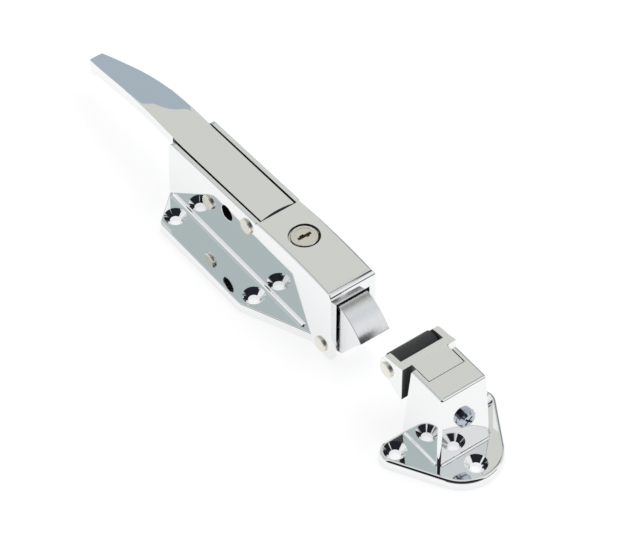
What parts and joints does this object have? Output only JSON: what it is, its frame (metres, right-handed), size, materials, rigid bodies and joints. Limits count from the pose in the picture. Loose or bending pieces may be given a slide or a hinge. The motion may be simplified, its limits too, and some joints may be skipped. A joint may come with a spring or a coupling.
{
  "type": "walk-in refrigerator door latch and strike",
  "caption": "Chrome pull-handle latch for a walk-in refrigerator door, with key lock, padlock hole and pivoting bolt, and a separate strike whose roller is set in and out by a screw.",
  "frame": {"origin": "middle of the latch's four screw holes, on the mounting plane", "axes": "+X from the handle toward the strike, +Z out of the door, Y across the latch"},
  "size_m": [0.387, 0.081, 0.0592],
  "materials": {
    "chrome": "polished chrome plate",
    "nickel": "satin nickel plate",
    "steel": "satin steel",
    "brass": "stamped brass",
    "nylon": "matte black nylon"
  },
  "bodies": {
    "housing": {"latch_housing": "chrome", "handle_pivot_pin": "nickel", "handle_stop_pin": "nickel", "bolt_pivot_pin": "nickel", "handle_spring": "steel", "lock_barrel": "nickel", "lock_nut": "steel"},
    "handle_lever": {"handle": "chrome", "lever_pin": "steel"},
    "bolt_arm": {"bolt": "steel"},
    "lock_turning": {"lock_plug": "nickel", "lock_wafers": "brass", "lock_cam": "steel", "lock_cam_screw": "steel"},
    "strike": {"strike_body": "chrome"},
    "carriage": {"roller_carriage": "chrome", "roller_pin": "nickel"},
    "roller_wheel": {"roller": "nylon"},
    "screw": {"adjust_screw": "chrome", "screw_clip": "steel"}
  },
  "joints": [
    {"name": "handle_lift", "type": "hinge", "parent": "housing", "child": "handle_lever", "pos_m": [0.0207, 0, 0.0449], "axis": [0, 1, 0], "range_deg": [0, 30], "stiffness_Nm_per_rad": 0.8, "springref_deg": -34.38, "deforming": ["handle_spring"]},
    {"name": "bolt_swing", "type": "hinge", "parent": "housing", "child": "bolt_arm", "pos_m": [0.0932, 0, 0.007], "axis": [0, 1, 0], "range_deg": [-41.5, 0]},
    {"name": "lock_turn", "type": "hinge", "parent": "housing", "child": "lock_turning", "pos_m": [0.0548, 0, 0.05], "axis": [0, 0, 1], "range_deg": [-90, 0]},
    {"name": "strike_approach", "type": "slide", "parent": "housing", "child": "strike", "axis": [1, 0, 0], "range_m": [-0.0355, 0]},
    {"name": "screw_turn", "type": "hinge", "parent": "strike", "child": "screw", "pos_m": [0.1902, 0, 0.036], "axis": [1, 0, 0], "range_deg": [0, 2881]},
    {"name": "carriage_slide", "type": "slide", "parent": "strike", "child": "carriage", "axis": [-1, 0, 0], "range_m": [0, 0.008]},
    {"name": "roller_spin", "type": "hinge", "parent": "carriage", "child": "roller_wheel", "pos_m": [0.1584, 0, 0.0468], "axis": [0, 1, 0], "continuous": true}
  ],
  "couplings": [
    {"joint": "bolt_swing", "follows": "handle_lift", "ratio": -1.38},
    {"joint": "screw_turn", "follows": "carriage_slide", "rad_per_m": 6283.2}
  ]
}
